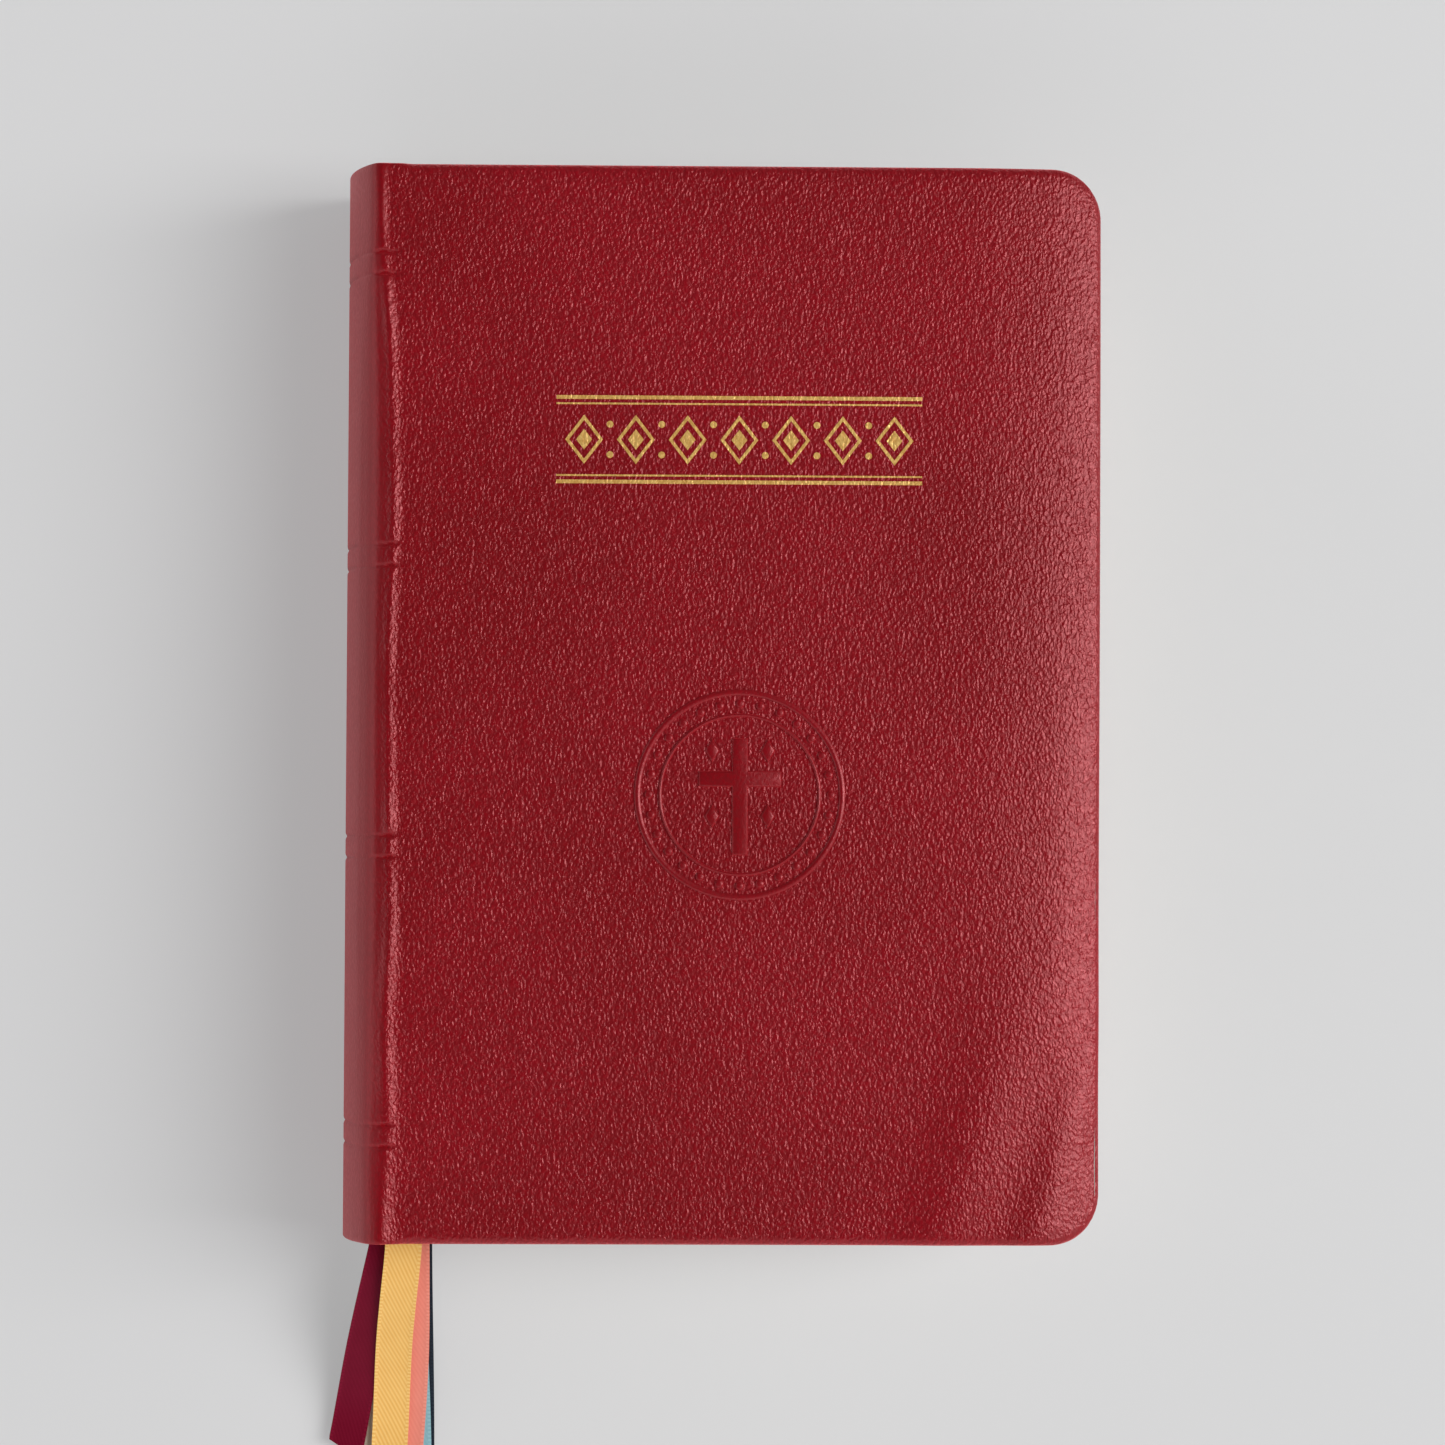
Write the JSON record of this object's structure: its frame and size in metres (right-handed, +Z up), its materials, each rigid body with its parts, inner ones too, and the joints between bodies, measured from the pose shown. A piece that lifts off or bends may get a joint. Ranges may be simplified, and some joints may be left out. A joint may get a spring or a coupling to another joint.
{
  "type": "prayer book",
  "caption": "Limp red leather prayer book with a rounded spine, sewn page sections, covers that open at their joints, and satin bookmark ribbons leaving the tail.",
  "frame": {"origin": "on the surface that the shut book lies on, under the middle of its covers, the ribbons left out", "axes": "+X from the spine to the fore edge, +Y from the tail to the head, +Z up from the back cover to the front cover"},
  "size_m": [0.1241, 0.2238, 0.036],
  "materials": {
    "leather": "deep red grained leather, satin",
    "board": "grey flexible board",
    "endpaper": "cream laid paper",
    "spine_card": "brown card",
    "mull": "open cotton weave",
    "thread": "linen thread",
    "band": "woven silk bead",
    "pages": "thin book paper",
    "gold_satin": "satin ribbon",
    "burgundy_satin": "satin ribbon",
    "rose_satin": "satin ribbon",
    "cream_satin": "satin ribbon",
    "teal_satin": "satin ribbon",
    "navy_satin": "satin ribbon"
  },
  "bodies": {
    "back_half": {"back_spine_leather": "leather", "back_spine_inlay": "spine_card", "back_mull": "mull", "back_sewing_thread": "thread", "back_headband": "band", "back_tailband": "band", "back_section_1": "pages", "back_section_2": "pages", "back_section_3": "pages", "back_section_4": "pages", "back_section_5": "pages", "back_section_6": "pages", "back_section_7": "pages", "back_section_8": "pages", "back_flyleaf": "endpaper", "gold_ribbon": "gold_satin", "burgundy_ribbon": "burgundy_satin", "rose_ribbon": "rose_satin", "cream_ribbon": "cream_satin", "teal_ribbon": "teal_satin", "navy_ribbon": "navy_satin"},
    "front_half": {"front_spine_leather": "leather", "front_spine_inlay": "spine_card", "front_mull": "mull", "front_sewing_thread": "thread", "front_headband": "band", "front_tailband": "band", "front_section_1": "pages", "front_section_2": "pages", "front_section_3": "pages", "front_section_4": "pages", "front_section_5": "pages", "front_section_6": "pages", "front_section_7": "pages", "front_section_8": "pages", "front_flyleaf": "endpaper"},
    "front_cover": {"front_cover_leather": "leather", "front_board": "board", "front_pastedown": "endpaper"},
    "back_cover": {"back_cover_leather": "leather", "back_board": "board", "back_pastedown": "endpaper"},
    "left_page": {"left_leaf": "pages"},
    "right_page": {"right_leaf": "pages"}
  },
  "joints": [
    {"name": "middle_opening", "type": "hinge", "parent": "back_half", "child": "front_half", "pos_m": [-0.0608, 0, 0.018], "axis": [0, -1, 0], "range_deg": [0, 179]},
    {"name": "front_cover_joint", "type": "hinge", "parent": "front_half", "child": "front_cover", "pos_m": [-0.0522, 0, 0.0368], "axis": [0, -1, 0], "range_deg": [0, 179]},
    {"name": "back_cover_joint", "type": "hinge", "parent": "back_half", "child": "back_cover", "pos_m": [-0.0522, 0, -0.0026], "axis": [0, 1, 0], "range_deg": [0, 179]},
    {"name": "left_leaf_lift", "type": "hinge", "parent": "front_half", "child": "left_page", "pos_m": [-0.0608, 0, 0.018], "axis": [0, -1, 0], "range_deg": [-9, 0]},
    {"name": "right_leaf_lift", "type": "hinge", "parent": "back_half", "child": "right_page", "pos_m": [-0.0608, 0, 0.018], "axis": [0, -1, 0], "range_deg": [0, 9]}
  ],
  "couplings": [
    {"joint": "left_leaf_lift", "follows": "middle_opening", "ratio": -0.05},
    {"joint": "right_leaf_lift", "follows": "middle_opening", "ratio": 0.05}
  ]
}
